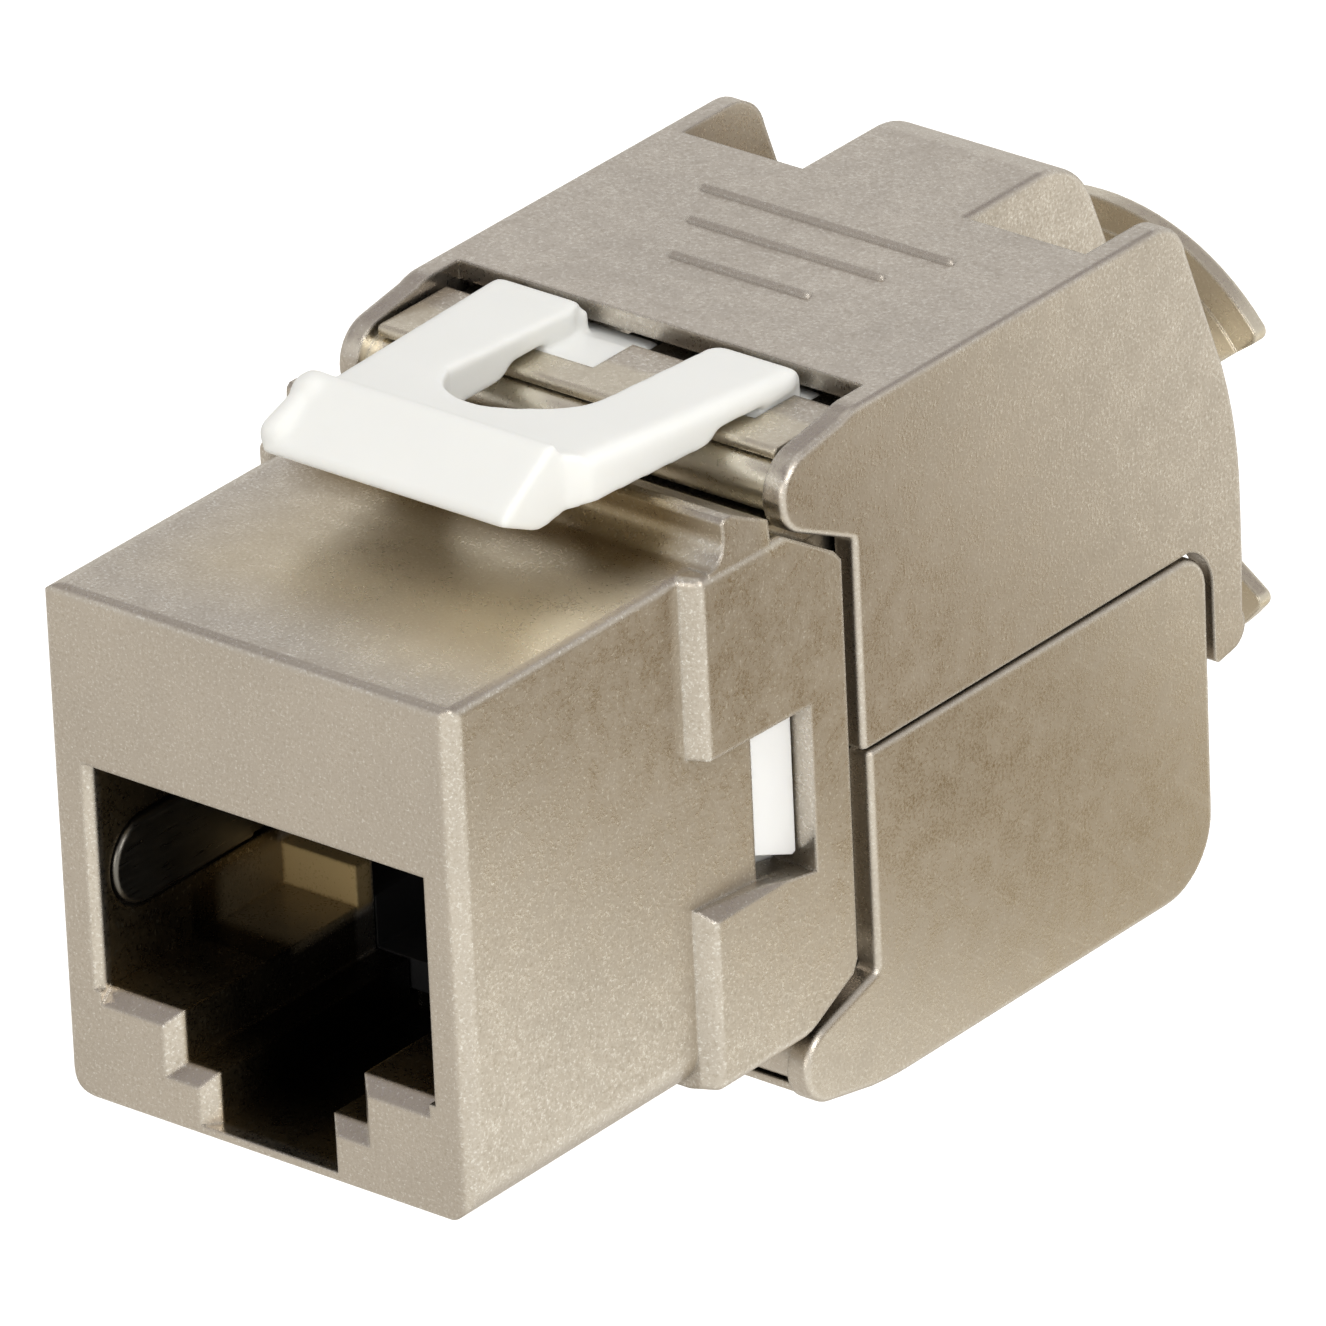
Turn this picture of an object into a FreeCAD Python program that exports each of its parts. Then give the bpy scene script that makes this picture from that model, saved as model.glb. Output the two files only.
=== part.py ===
import FreeCAD, Part
import math
import os

# Shielded keystone jack with two swinging rear covers.
# X to the right seen from the front, Y from the port face to the cable end,
# Z up. The origin is the centre of the port face. Millimetres.

V = FreeCAD.Vector

# ---------------------------------------------------------------- driving sizes
BLOCK_W = 14.5          # width of the block that passes through the panel hole
BLOCK_H = 15.8          # height of that block
BODY_W = 15.7           # width across the side shoulders and the rear body
BODY_REAR = 16.17       # rear edge of the housing's side walls
SHOULDER_Y = 9.85       # where the side shoulders begin
ZS = -0.15              # height of the seam plane between the two covers
PORT_TOP = 2.62
PORT_HALF = 5.95
SHELF_Z = -4.8
STEP1_HALF, STEP1_Z = 3.65, -6.38
STEP2_HALF, STEP2_Z = 2.45, -7.52
PIVOT_Y = 14.92         # hinge bars
PIVOT_Z = 8.62
BAR_R = 0.86
CRADLE_R = 0.98
COVER_HALF = 7.9        # outer half width of the covers
COVER_IN = 7.18         # inner half width of the covers
TOP_Z = 10.35           # top face of the upper cover
PLATE_T = 0.6
PLATE_FRONT = 18.27
NOSE_R = 1.25
SPOUT_Z = -0.57         # axis of the cable outlet
SPOUT_R_IN, SPOUT_R_OUT = 5.2, 6.15
FLANGE_R = 7.13
FLANGE_Y0, FLANGE_Y1 = 37.68, 38.3
SPOUT_UP = 35.0         # the upper arc ends this many degrees above the horizontal
SPOUT_LOW = 36.5        # the lower arc ends this many degrees below it
SEAM_UP, SEAM_LOW = -0.06, -0.24   # the two covers' facing edges
CABLE_R = 4.6           # radius of the hole that the cable passes through
CONTACT_PITCH = 1.02
IDC_X = (-4.05, -1.35, 1.35, 4.05)
IDC_Z = 4.55

os.makedirs("parts", exist_ok=True)


# ---------------------------------------------------------------- helpers
def box(x0, x1, y0, y1, z0, z1):
    return Part.makeBox(x1 - x0, y1 - y0, z1 - z0, V(x0, y0, z0))


def prism_x(pts, x0, x1):
    """Polygon given as (y, z), extruded along X."""
    w = Part.makePolygon([V(x0, y, z) for y, z in pts] + [V(x0, pts[0][0], pts[0][1])])
    return Part.Face(w).extrude(V(x1 - x0, 0, 0))


def prism_y(pts, y0, y1):
    """Polygon given as (x, z), extruded along Y."""
    w = Part.makePolygon([V(x, y0, z) for x, z in pts] + [V(pts[0][0], y0, pts[0][1])])
    return Part.Face(w).extrude(V(0, y1 - y0, 0))


def prism_z(pts, z0, z1):
    """Polygon given as (x, y), extruded along Z."""
    w = Part.makePolygon([V(x, y, z0) for x, y in pts] + [V(pts[0][0], pts[0][1], z0)])
    return Part.Face(w).extrude(V(0, 0, z1 - z0))


def cyl_x(y, z, r, x0, x1):
    return Part.makeCylinder(r, x1 - x0, V(x0, y, z), V(1, 0, 0))


def cyl_y(x, z, r, y0, y1):
    return Part.makeCylinder(r, y1 - y0, V(x, y0, z), V(0, 1, 0))


def cyl_z(x, y, r, z0, z1):
    return Part.makeCylinder(r, z1 - z0, V(x, y, z0), V(0, 0, 1))


def fuse(*s):
    out = s[0]
    for o in s[1:]:
        out = out.fuse(o)
    return out.removeSplitter()


def cut(a, *s):
    for o in s:
        a = a.cut(o)
    return a


def arc(cx, cy, r, a0, a1, n=10):
    """Points on an arc, degrees."""
    return [(cx + r * math.cos(math.radians(a0 + (a1 - a0) * i / n)),
             cy + r * math.sin(math.radians(a0 + (a1 - a0) * i / n))) for i in range(n + 1)]


def path_x(segs, x0, x1):
    """Closed outline in the YZ plane made of lines and true arcs, extruded along X.
    segs is a list of ("l", y, z) and ("a", ymid, zmid, y, z) from the first point."""
    p = V(x0, segs[0][1], segs[0][2])
    first = p
    edges = []
    for s in segs[1:]:
        if s[0] == "l":
            q = V(x0, s[1], s[2])
            if (q - p).Length > 1e-6:
                edges.append(Part.LineSegment(p, q).toShape())
        else:
            m = V(x0, s[1], s[2])
            q = V(x0, s[3], s[4])
            edges.append(Part.Arc(p, m, q).toShape())
        p = q
    if (p - first).Length > 1e-6:
        edges.append(Part.LineSegment(p, first).toShape())
    w = Part.Wire(edges)
    return Part.Face(w).extrude(V(x1 - x0, 0, 0))


def rounded(pts, lift, vec):
    """Closed polygon with rounded corners. pts is a list of (a, b, r); lift puts a
    2-D point into space; vec is the extrusion."""
    n = len(pts)
    edges, first, last = [], None, None
    for i in range(n):
        a, b, r = pts[i]
        pa, pb = pts[i - 1], pts[(i + 1) % n]
        c = V(a, b, 0)
        u = V(pa[0] - a, pa[1] - b, 0)
        w = V(pb[0] - a, pb[1] - b, 0)
        u.normalize()
        w.normalize()
        if r > 1e-6:
            half = u.getAngle(w) / 2
            d = r / math.tan(half)
            p1, p2 = c + u * d, c + w * d
            bis = (u + w)
            bis.normalize()
            m = c + bis * (r / math.sin(half) - r)
        else:
            p1 = p2 = c
            m = None
        if last is not None and (p1 - last).Length > 1e-6:
            edges.append(Part.LineSegment(lift(last), lift(p1)).toShape())
        if first is None:
            first = p1
        if m is not None:
            edges.append(Part.Arc(lift(p1), lift(m), lift(p2)).toShape())
        last = p2
    if (first - last).Length > 1e-6:
        edges.append(Part.LineSegment(lift(last), lift(first)).toShape())
    return Part.Face(Part.Wire(edges)).extrude(vec)


def round_x(pts, x0, x1):
    return rounded(pts, lambda p: V(x0, p.x, p.y), V(x1 - x0, 0, 0))


def round_y(pts, y0, y1):
    return rounded(pts, lambda p: V(p.x, y0, p.y), V(0, y1 - y0, 0))


def round_z(pts, z0, z1):
    return rounded(pts, lambda p: V(p.x, p.y, z0), V(0, 0, z1 - z0))


def mir(p):
    """Mirror a (y, z) point in the seam plane."""
    return (p[0], 2 * ZS - p[1])


def near(edge, x=None, y=None, z=None, tol=0.02):
    for v in edge.Vertexes:
        if x is not None and abs(abs(v.X) - x) > tol:
            return False
        if y is not None and abs(v.Y - y) > tol:
            return False
        if z is not None and abs(v.Z - z) > tol:
            return False
    return True


def fil(shape, r, test):
    es = [e for e in shape.Edges if test(e)]
    if not es:
        print("no edges for fillet", r)
        return shape
    try:
        out = shape.makeFillet(r, es)
        if out.isValid() and out.Volume > 0:
            return out
    except Exception as err:
        print("fillet failed", r, len(es), err)
    return shape


PARTS = {}


def keep(name, shape):
    if shape.ShapeType != "Solid":
        sol = shape.Solids
        if len(sol) == 1:
            shape = sol[0]
    n = len(shape.Solids)
    bb = shape.BoundBox
    print("%-26s solids %d valid %s vol %8.2f  x %.2f..%.2f y %.2f..%.2f z %.2f..%.2f" % (
        name, n, shape.isValid(), shape.Volume, bb.XMin, bb.XMax, bb.YMin, bb.YMax, bb.ZMin, bb.ZMax))
    shape.exportStep("parts/%s.step" % name)
    PARTS[name] = shape


# ================================================================ front housing
hw, hh, bw = BLOCK_W / 2, BLOCK_H / 2, BODY_W / 2

block = round_y([(-hw, -hh, 1.35), (hw, -hh, 1.3), (hw, hh, 0.28), (-hw, hh, 0.75)], 0, 12.0)
block = block.common(round_z([(-hw, 0, 0.5), (hw, 0, 0.55), (hw, 12.0, 0), (-hw, 12.0, 0)], -9, 9))
block = block.common(round_x([(0, -hh, 0.3), (12.0, -hh, 0), (12.0, hh, 0), (0, hh, 0.28)], -9, 9))

# rear body with side shoulders, chamfered in side view at the rear corners
side = prism_x([(9.0, hh), (13.65, hh - 0.12), (15.86, 6.42), (BODY_REAR, 6.05),
                (BODY_REAR, -6.3), (15.98, -6.68), (13.6, -hh), (9.0, -hh)], -bw, bw)
plan = prism_z([(-hw, SHOULDER_Y), (-bw, SHOULDER_Y + 0.3), (-bw, 17.0), (bw, 17.0),
                (bw, SHOULDER_Y + 0.3), (hw, SHOULDER_Y)], -9, 9)
rear = side.common(plan)
rear = fil(rear, 0.28, lambda e: near(e, x=bw, z=hh, tol=0.13) and abs(e.Vertexes[0].Y - e.Vertexes[-1].Y) > 2)
rear = fil(rear, 0.35, lambda e: near(e, x=bw, z=-hh, tol=0.05) and abs(e.Vertexes[0].Y - e.Vertexes[-1].Y) > 2)
# recessed strip between the shoulders, up to the window
for s in (-1, 1):
    strip = prism_x([(9.0, 2.38), (14.58, 2.22), (14.58, -2.9), (12.6, -2.52), (9.0, -2.25)],
                    *sorted((s * hw, s * (bw + 1))))
    rear = rear.cut(strip)
    # sloping upper face of the lower shoulder
    wedge = prism_y([(s * hw, -2.25), (s * (bw + 0.2), -2.25), (s * (bw + 0.2), -2.78)], 9.0, 14.58)
    rear = rear.cut(wedge)
rear = fil(rear, 0.22, lambda e: near(e, x=bw, y=SHOULDER_Y + 0.3))
housing = fuse(block, rear)

# stop ridge across the top, with a cove at its foot
ridge = prism_x([(11.3, 7.2), (11.3, 9.05), (11.42, 9.17), (11.72, 9.17), (13.2, 8.45), (13.2, 7.2)], -bw, bw)
cove = cut(box(-bw, bw, 10.55, 11.4, hh - 0.25, hh + 0.75), cyl_x(10.55, hh + 0.75, 0.75, -9, 9))
ridge = fuse(ridge, cove)
ridge = ridge.common(prism_y([(-bw + 0.06, 7.0), (-bw + 0.06, hh), (-bw + 0.17, 9.3), (bw - 0.17, 9.3), (bw - 0.06, hh), (bw - 0.06, 7.0)], 10, 14))
housing = fuse(housing, ridge)

# hinge hooks, top and bottom: a roof over the hinge bar, open to the front
def hook(flip):
    f = (lambda pts: [mir(p) for p in pts]) if flip else (lambda pts: pts)
    py, pz = f([(PIVOT_Y, PIVOT_Z)])[0]
    solid = prism_x(f([(12.0, 6.6), (12.0, 7.74), (14.5, 7.74), (14.5, 9.85), (17.5, 9.85), (17.5, 9.4),
                       (18.9, 9.4), (18.9, 8.9), (16.6, 8.7), (16.6, 6.6)]), -7.02, 7.02)
    solid = solid.cut(cyl_x(py, pz, CRADLE_R, -8, 8))
    solid = solid.cut(prism_x(f([(13.0, 7.9), (14.92, 7.64), (14.92, 9.55), (13.0, 9.55)]), -8, 8))
    solid = max(solid.Solids, key=lambda q: q.Volume)
    z_t = f([(0, 9.85)])[0][1]
    solid = fil(solid, 0.16, lambda e: near(e, y=14.5, z=z_t))
    return solid

housing = fuse(housing, hook(False), hook(True))
# clear the hinge bar out of the body itself, through its whole width
for pz in (PIVOT_Z, 2 * ZS - PIVOT_Z):
    housing = housing.cut(cyl_x(PIVOT_Y, pz, CRADLE_R, -9, 9))

# sleeve that tucks into the covers, behind the side walls
sleeve = cut(box(-6.95, 6.95, 15.6, 17.7, -8.3, 8.0), box(-6.3, 6.3, 15.0, 18.0, -7.05, 6.85))
housing = fuse(housing, sleeve)

# chamber for the insert, open to the rear
housing = housing.cut(box(-6.3, 6.3, 8.6, 18.2, -7.05, 6.85))
# side windows
for s in (-1, 1):
    housing = housing.cut(prism_x([(12.64, 2.1), (14.58, 2.1), (14.58, -2.9), (12.64, -2.52)], *sorted((s * 6.0, s * 8.5))))
# port mouth and plug space
inner = [(5.85, PORT_TOP), (5.85, SHELF_Z + 0.42), (STEP1_HALF - 0.45, SHELF_Z + 0.42),
         (STEP1_HALF - 0.45, STEP1_Z + 0.42), (STEP2_HALF - 0.42, STEP1_Z + 0.42), (STEP2_HALF - 0.42, STEP2_Z)]
outer = [(5.85, PORT_TOP), (5.85, SHELF_Z), (STEP1_HALF, SHELF_Z),
         (STEP1_HALF, STEP1_Z), (STEP2_HALF, STEP1_Z), (STEP2_HALF, STEP2_Z)]
outer = outer + [(-x, z) for x, z in reversed(outer)]
full = inner + [(-x, z) for x, z in reversed(inner)]
sides = [(PORT_HALF + 0.13 if abs(x) > 5 else abs(x), z) for x, z in inner]
sides = sides + [(-x, z) for x, z in reversed(sides)]


def wire_at(pts, y):
    return Part.makePolygon([V(x, y, z) for x, z in pts] + [V(pts[0][0], y, pts[0][1])])


mouth = Part.makeLoft([wire_at(outer, 0.0), wire_at(full, 0.45)], True, True)
jambs = Part.makeLoft([wire_at(sides, 0.0), wire_at(full, 0.25)], True, True)
lead = fuse(prism_y(outer, -0.5, 0.0), prism_y(sides, -0.5, 0.0))
housing = housing.cut(lead).cut(mouth).cut(jambs).cut(prism_y(full, 0.25, 9.0))
# chamber above the port for the contact comb
housing = housing.cut(box(-5.6, 5.6, 1.5, 9.0, 2.0, 6.5))
# seats for the two side springs in the port walls
for s in (-1, 1):
    x0, x1 = sorted((s * 5.5, s * 6.25))
    housing = housing.cut(fuse(box(x0, x1, 2.1, 9.0, -2.52, 0.32), cyl_x(2.1, -1.1, 1.42, x0, x1)))
    # stop for the plug at the back of each shelf
    housing = fuse(housing, box(*sorted((s * 3.2, s * 5.95)), 7.93, 8.62, -4.5, -3.12))
# slots for the feet of the latch in the roof of the upper hook
for x0, x1 in ((-4.45, -0.35), (2.5, 5.35)):
    housing = housing.cut(box(x0, x1, 15.75, 19.2, 9.05, 10.4))
for x0, x1 in ((-4.3, -2.0), (2.6, 4.9)):
    housing = housing.cut(box(x0, x1, 16.0, 17.55, 7.2, 10.4))
keep("front_housing", housing)

# ================================================================ upper cover
py, pz = PIVOT_Y, PIVOT_Z
ny, nz = 14.95, 8.68                                     # centre of the ear's nose


def tangent(cx, cy, r, p, side):
    """Point where a line from p touches the circle."""
    dx, dy = cx - p[0], cy - p[1]
    d = math.hypot(dx, dy)
    a = math.atan2(dy, dx)
    b = math.asin(r / d)
    t = a + side * b
    L = math.sqrt(d * d - r * r)
    return (p[0] + L * math.cos(t), p[1] + L * math.sin(t))


t_low = tangent(ny, nz, NOSE_R, (16.75, 6.42), +1)
t_top = tangent(ny, nz, NOSE_R, (16.9, TOP_Z), -1)
mid_n = (ny - NOSE_R * math.cos(math.radians(10)), nz + NOSE_R * math.sin(math.radians(10)))

cover_out = path_x([("l", 16.75, SEAM_UP), ("l", 16.75, 6.42), ("l",) + t_low,
                    ("a",) + mid_n + t_top,
                    ("l", 16.45, 10.2), ("a", 16.85, 10.32, 17.3, TOP_Z), ("l", 30.5, TOP_Z),
                    ("a", 31.45, 9.98, 31.93, 9.15),
                    ("l", 33.45, 5.0), ("a", 33.93, 2.9, 34.08, 0.6), ("l", 34.08, -1.3), ("l", 34.0, -3.1),
                    ("a", 33.9, -3.6, 33.5, -3.88), ("l", 32.85, -4.0), ("a", 32.69, -3.98, 32.62, -3.84),
                    ("l", 32.62, -1.55), ("a", 32.33, -0.62, 31.55, SEAM_UP)],
                   -COVER_HALF, COVER_HALF)
t_edges = lambda e: near(e, x=COVER_HALF) and e.BoundBox.YMax < 34.3 and e.BoundBox.ZMax > 5.5
cover = fil(cover_out, 0.18, t_edges)
# inside
cavity = prism_x([(10.0, -6.0), (10.0, TOP_Z - PLATE_T), (27.75, TOP_Z - PLATE_T), (31.65, 4.7), (32.0, 2.0),
                  (32.0, -6.0)], -COVER_IN, COVER_IN)
cover = cover.cut(cavity)
# open front between the two ears
cover = cover.cut(box(-COVER_IN, COVER_IN, 10.0, PLATE_FRONT, 5.0, 11.0))
# rear wall set in between the side walls
recess = prism_x([(28.25, TOP_Z + 1), (28.25, TOP_Z), (32.45, 4.9), (32.75, 2.0), (32.75, -6), (36, -6), (36, TOP_Z + 1)],
                 -COVER_IN, COVER_IN)
cover = cover.cut(recess)
# raised spine that carries the top surface rearward to the spout
spine = path_x([("l", 27.5, TOP_Z), ("l", 31.75, TOP_Z), ("a", 33.1, 9.88, 33.98, 8.78), ("l", 34.78, 6.75),
                ("l", 35.1, 5.0), ("l", 31.0, 5.0), ("l", 27.5, 9.4)], -2.98, 2.98)
spine = fil(spine, 0.2, lambda e: near(e, x=2.98) and e.BoundBox.YMin > 27.4 and e.BoundBox.ZMax > 6.5 and e.BoundBox.ZMin > 6.5)
cover = fuse(cover, spine)
cover = cover.cut(prism_x([(20.0, 4.0), (20.0, TOP_Z - PLATE_T), (31.6, TOP_Z - PLATE_T), (32.9, 9.2), (33.45, 8.4), (34.1, 6.7), (34.2, 4.0)],
                          -2.3, 2.3))


# cable outlet: an arc with a flange on each cover
def spout(upper):
    s = cut(fuse(cyl_y(0, SPOUT_Z, SPOUT_R_OUT, 32.0, FLANGE_Y1), cyl_y(0, SPOUT_Z, FLANGE_R, FLANGE_Y0, FLANGE_Y1)),
            cyl_y(0, SPOUT_Z, SPOUT_R_IN, 30.0, 40.0))
    a, k = (SPOUT_UP, 1) if upper else (SPOUT_LOW, -1)
    dx, dz = 12 * math.cos(math.radians(a)), k * 12 * math.sin(math.radians(a))
    s = s.common(prism_y([(0, SPOUT_Z), (dx, SPOUT_Z + dz), (dx, k * 12), (-dx, k * 12), (-dx, SPOUT_Z + dz)], 30, 40))
    outside = lambda v: abs(math.hypot(v.X, v.Z - SPOUT_Z) - FLANGE_R) < 0.02
    s = fil(s, 0.3, lambda e: all(outside(v) for v in e.Vertexes) and abs(e.Vertexes[0].Y - e.Vertexes[-1].Y) > 0.3)
    s = fil(s, 0.17, lambda e: e.BoundBox.YMin > FLANGE_Y1 - 0.01)
    return s


up_spout = spout(True)
cover = fuse(cover, up_spout)
cover = cover.cut(cyl_y(0, SPOUT_Z, SPOUT_R_IN, 32.6, 40.0))
cover = cover.cut(cyl_y(0, SPOUT_Z, CABLE_R, 26.0, 40.0))
# only the side walls reach below the seam, as hooks behind the lower cover
cover = cover.cut(box(-COVER_IN, COVER_IN, 26, 36, -8, SEAM_UP))
# hinge bar between the ears
cover = fuse(cover, cyl_x(py, pz, BAR_R, -COVER_IN - 0.05, COVER_IN + 0.05))
# three thin raised ribs across the top as a grip
for ry, rx in ((25.7, 4.35), (23.85, 3.35), (21.8, 2.35)):
    bar = cyl_x(ry + 0.05, TOP_Z - 0.05, 0.18, -rx, rx)
    cover = fuse(cover, bar, Part.makeSphere(0.18, V(rx, ry + 0.05, TOP_Z - 0.05)),
                 Part.makeSphere(0.18, V(-rx, ry + 0.05, TOP_Z - 0.05)))
# stiffening ribs inside, which bear on the wire manager when the cover is shut
for x0 in (-4.0, 3.3):
    cover = fuse(cover, prism_x([(27.2, TOP_Z - PLATE_T + 0.05), (27.2, 8.4), (29.1, 8.4), (29.1, 8.6)], x0, x0 + 0.7))
keep("upper_cover", cover)

# ================================================================ lower cover
lny, lnz = 14.93, -8.96
l_in = tangent(lny, lnz, 1.22, (17.0, -7.05), -1)
l_bot = tangent(lny, lnz, 1.22, (16.6, -10.53), +1)
lm = (lny - 1.22 * math.cos(math.radians(10)), lnz - 1.22 * math.sin(math.radians(10)))
low = path_x([("l", 17.0, SEAM_LOW), ("l", 17.0, -7.05), ("l",) + l_in, ("a",) + lm + l_bot,
              ("l", 16.6, -10.53), ("a", 17.5, -10.625, 18.5, -10.65), ("l", 30.1, -10.65), ("a", 31.66, -10.0, 32.3, -8.45),
              ("l", 32.36, -1.5), ("a", 32.06, -0.62, 31.2, SEAM_LOW)], -COVER_HALF, COVER_HALF)
low = fil(low, 0.18, lambda e: near(e, x=COVER_HALF))
low = low.cut(prism_x([(10.0, 2.0), (10.0, -10.05), (29.9, -10.05), (31.2, -9.5), (31.7, -8.4), (31.7, 2.0)], -COVER_IN, COVER_IN))
low = low.cut(box(-COVER_IN, COVER_IN, 10.0, PLATE_FRONT, -11.0, -5.0))
low_spout = spout(False)
low = fuse(low, low_spout)
low = low.cut(cyl_y(0, SPOUT_Z, CABLE_R, 26.0, 40.0))
# the upper cover's hooks pass beside nothing here; the rear corners are rounded
low = fuse(low, cyl_x(PIVOT_Y, 2 * ZS - PIVOT_Z, BAR_R, -COVER_IN - 0.05, COVER_IN + 0.05))
for x0 in (-4.0, 3.3):
    low = fuse(low, prism_x([(27.2, -10.1), (27.2, -8.7), (29.1, -8.7), (30.6, -10.1)], x0, x0 + 0.7))
keep("lower_cover", low)

# ================================================================ keystone latch
prof = path_x([("l", 6.15, 10.1), ("l", 6.28, 10.42), ("l", 8.2, 11.66), ("a", 8.42, 11.72, 8.58, 11.6), ("l", 8.78, 11.3),
               ("l", 9.3, 11.14), ("l", 17.1, 10.61), ("a", 17.84, 10.42, 18.14, 9.98),
               ("l", 14.5, 9.98), ("l", 14.15, 9.7), ("l", 13.7, 9.62), ("l", 9.2, 9.61), ("l", 8.1, 9.42), ("l", 7.6, 9.42)], -7, 7)
# plan: lip, then two arms that spread towards the rear
plan = round_z([(-4.3, 6.0, 0), (4.3, 6.0, 0), (4.32, 8.75, 0), (4.75, 9.4, 0), (5.42, 17.1, 0), (5.42, 18.2, 0),
                (-5.42, 18.2, 0), (-5.42, 17.1, 0), (-4.47, 9.6, 0), (-4.32, 8.75, 0)], 8, 13)
plan = fil(plan, 0.35, lambda e: near(e, x=4.3, y=6.0))
lever = prof.common(plan)
# U-shaped slot between the arms
slot = fuse(box(-2.15, 2.4, 12.9, 19.0, 8, 13),
            prism_z([(-2.15, 17.2), (2.4, 17.2), (2.65, 17.75), (3.2, 18.2), (3.2, 18.5), (-3.0, 18.5), (-3.0, 18.2), (-2.4, 17.75)], 8, 13),
            cyl_z(0.35, 12.9, 2.05, 8, 13), cyl_z(-0.25, 12.2, 1.9, 8, 13), box(-2.15, 0.3, 11.6, 13.0, 8, 13))


def round_off(pa, pb, r, side):
    """Cutter that rounds a long edge between two points, given as (x, y, z); side is the
    direction of the outer face along X."""
    def ring(p):
        x, y, z = p
        pts = [(x - side * (r - r * math.cos(t)), z - r + r * math.sin(t))
               for t in [math.radians(90 - 15 * k) for k in range(7)]]
        pts += [(x + side * 0.6, z - r), (x + side * 0.6, z + 0.6), (x - side * r, z + 0.6)]
        return Part.makePolygon([V(a, y, b) for a, b in pts] + [V(pts[0][0], y, pts[0][1])])
    return Part.makeLoft([ring(pa), ring(pb)], True, True)


lever = lever.cut(round_off((4.74, 9.3, 11.145), (5.49, 18.3, 10.53), 0.42, 1))
lever = lever.cut(round_off((-4.43, 9.3, 11.145), (-5.575, 18.3, 10.53), 0.42, -1))
lever = lever.cut(slot)
lever = fil(lever, 0.16, lambda e: e.BoundBox.ZMin > 10.3 and e.BoundBox.YMin > 9.2 and abs(e.Vertexes[0].Y - e.Vertexes[-1].Y) > 1
            and max(abs(v.X) for v in e.Vertexes) < 2.6)
lever = lever.common(round_z([(-6, 5, 0), (6, 5, 0), (5.42, 15, 0), (5.42, 18.2, 0.95), (-5.42, 18.2, 0.95), (-5.42, 15, 0)], 8, 13))
foot = [(15.85, 9.4), (15.85, 9.72), (17.5, 9.7), (18.1, 9.45), (18.8, 9.4), (18.8, 9.15), (17.7, 9.15), (17.7, 9.4)]
feet = fuse(prism_x(foot, -4.37, -0.43), prism_x(foot, 2.58, 5.27))
feet = fuse(feet, box(-4.25, -2.25, 15.95, 18.0, 9.4, 10.2), box(2.6, 5.25, 16.25, 18.0, 9.4, 10.2))
legs = fuse(box(-4.05, -2.25, 16.3, 17.25, 7.45, 9.5), box(2.85, 4.65, 16.3, 17.25, 7.45, 9.5))
# rounded left end of the lip
knob = fuse(Part.makeSphere(0.7, V(-4.0, 8.2, 11.05)), Part.makeSphere(0.56, V(-4.13, 6.82, 10.42)),
            Part.makeCone(0.56, 0.42, 1.35, V(-4.13, 6.82, 10.42), V(0.12, 1.1, 0.72)))
latch = fuse(lever, feet, legs)
latch = fuse(latch, knob)
keep("keystone_latch", latch)

# ================================================================ contact comb
comb = box(-5.4, 5.4, 1.7, 8.7, 2.9, 6.35)
comb = comb.cut(box(-4.35, 4.35, 2.5, 8.8, 2.0, 3.3))
comb = fuse(comb, cut(box(-6.15, 6.15, 8.7, 12.1, -6.9, 6.7), box(-5.85, 5.85, 8.0, 11.3, -4.38, 2.62),
                      box(-3.2, 3.2, 8.0, 11.3, -5.96, -4.0)))
for i in range(8):
    x = (i - 3.5) * CONTACT_PITCH
    comb = comb.cut(box(x - 0.29, x + 0.29, 2.6, 9.4, 2.0, 5.85))
    comb = comb.cut(box(x - 0.29, x + 0.29, 2.6, 12.6, 5.3, 5.85))
    comb = comb.cut(prism_x([(8.0, 3.6), (10.2, 3.6), (10.2, 0.2), (8.0, 0.2)], x - 0.29, x + 0.29))
keep("contact_carrier", comb)

# ================================================================ jack contacts
CT = 0.34
for i in range(8):
    x = (i - 3.5) * CONTACT_PITCH
    w = 0.21
    a = math.atan2(4.3, 5.3)
    # runs forward along the top, turns, and slopes back down into the port
    top = box(x - w, x + w, 3.3, 13.6, 5.4, 5.4 + CT)
    bend = cut(cyl_x(3.3, 5.4 + CT - 0.55, 0.55, x - w, x + w), cyl_x(3.3, 5.4 + CT - 0.55, 0.55 - CT, x - 1, x + 1),
               box(x - 1, x + 1, 3.3, 5.0, 4, 6.5))
    p0 = (3.3, 4.64)
    blade = prism_x([p0, (3.3, 4.64 + CT), (8.75, 1.45 + CT), (9.35, 1.5 + CT), (9.35, 1.5), (8.7, 1.1)], x - w, x + w)
    c = fuse(top, bend, blade)
    keep("jack_contact_%d" % (i + 1), c)

# ================================================================ circuit board
pcb = box(-5.5, 5.5, 12.9, 13.7, -6.3, 6.3)
for i in range(8):
    x = (i - 3.5) * CONTACT_PITCH
    pcb = pcb.cut(box(x - 0.21, x + 0.21, 12.5, 14.0, 5.4, 5.4 + CT))
for sz in (1, -1):
    for x in IDC_X:
        pcb = pcb.cut(box(x - 0.35, x + 0.35, 12.5, 14.0, sz * IDC_Z - 0.2, sz * IDC_Z + 0.2))
keep("circuit_board", pcb)

# ================================================================ insert frame (white, seen in the side windows)
frame = cut(box(-6.2, 6.2, 12.2, 17.6, -6.95, 6.75), box(-5.5, 5.5, 12.0, 18.0, -6.3, 6.3))
for s in (-1, 1):
    nub = prism_x([(12.7, 1.98), (14.52, 1.98), (14.52, -2.28), (14.45, -2.4), (14.3, -2.44), (12.7, -1.8)],
                  *sorted((s * 6.1, s * 7.2)))
    nub = fil(nub, 0.1, lambda e: near(e, x=7.2, y=14.52))
    frame = fuse(frame, nub)
keep("insert_frame", frame)

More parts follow.
